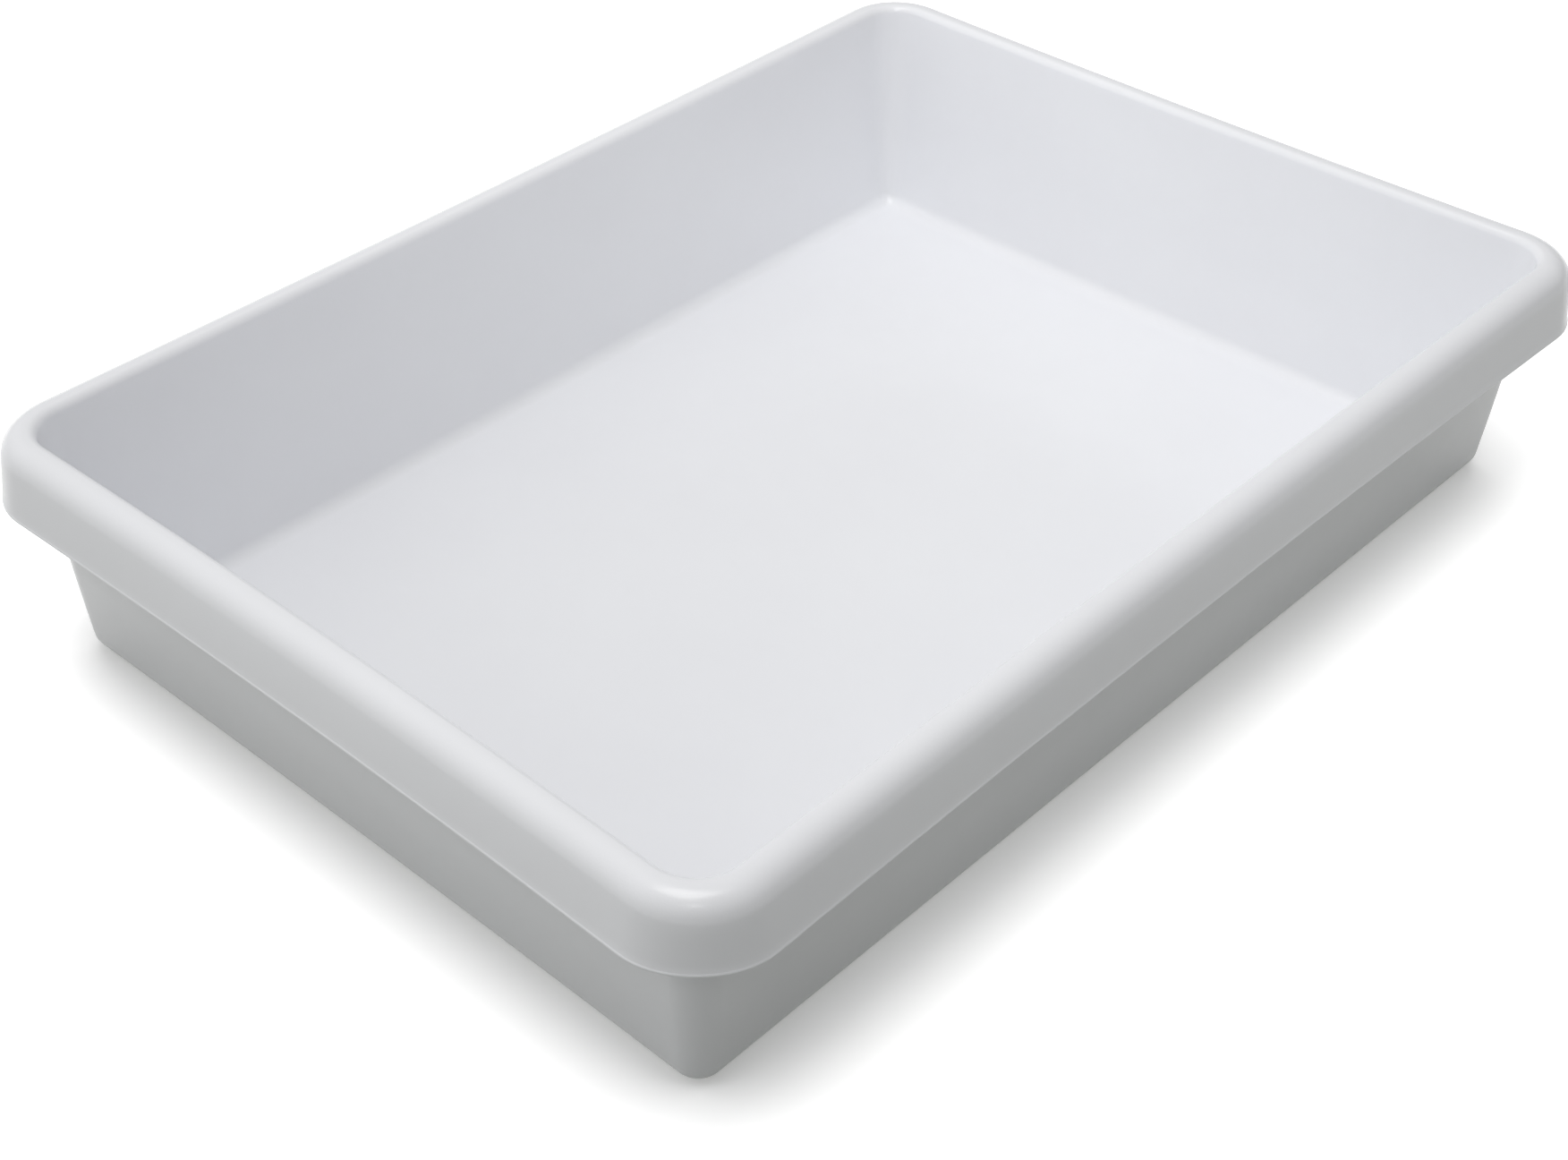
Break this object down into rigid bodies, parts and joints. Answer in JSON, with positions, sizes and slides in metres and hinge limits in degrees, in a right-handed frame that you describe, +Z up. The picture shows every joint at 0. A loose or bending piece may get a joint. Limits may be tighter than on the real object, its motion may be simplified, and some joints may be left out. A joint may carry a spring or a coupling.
{
  "type": "developing tray",
  "caption": "Deep rectangular darkroom developing tray in white plastic, with a flat floor, leaning walls, rounded corners and a hollow rolled rim with a flared skirt.",
  "frame": {"origin": "centre of the flat underside, on the surface that the tray stands on", "axes": "+X along the tray's length, +Y across its width, +Z up out of the open basin"},
  "size_m": [0.5528, 0.3968, 0.108],
  "materials": {
    "white_plastic": "satin"
  },
  "bodies": {
    "root": {"tray": "white_plastic"}
  },
  "joints": []
}
